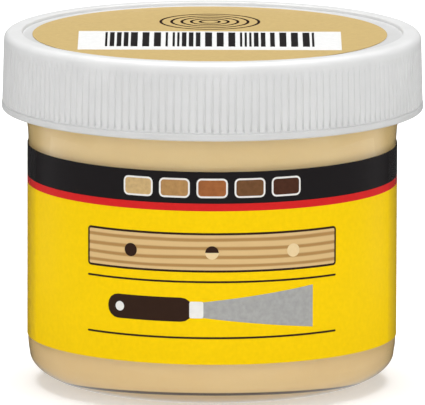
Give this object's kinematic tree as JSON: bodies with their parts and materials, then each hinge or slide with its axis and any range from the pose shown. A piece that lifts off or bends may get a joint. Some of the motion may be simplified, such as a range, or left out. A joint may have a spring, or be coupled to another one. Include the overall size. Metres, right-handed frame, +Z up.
{
  "type": "jar of wood filler putty",
  "caption": "Squat clear glass jar of tan wood filler putty with a striped wrap label and a white fluted screw cap over a sealing liner.",
  "frame": {"origin": "centre of the jar's foot, on the surface it stands on", "axes": "+Z up along the jar's and the screw's axis, -Y towards the front of the label, with the label's seam at +Y"},
  "size_m": [0.066, 0.066, 0.0554],
  "materials": {
    "clear_glass": "polished",
    "putty": "matte",
    "label_film": "satin",
    "liner_foam": "matte",
    "cap_plastic": "satin",
    "cap_label_paper": "satin"
  },
  "bodies": {
    "jar": {"glass_jar": "clear_glass", "putty_fill": "putty", "jar_label": "label_film"},
    "liner": {"cap_liner": "liner_foam"},
    "cap": {"screw_cap": "cap_plastic", "cap_label": "cap_label_paper"}
  },
  "joints": [
    {"name": "cap_lift", "type": "slide", "parent": "jar", "child": "liner", "axis": [0, 0, 1], "range_m": [0, 0.0128]},
    {"name": "cap_turn", "type": "hinge", "parent": "liner", "child": "cap", "pos_m": [0, 0, 0.0484], "axis": [0, 0, 1], "range_deg": [0, 1080]}
  ],
  "couplings": [
    {"joint": "cap_lift", "follows": "cap_turn", "m_per_rad": 0.00067376}
  ]
}
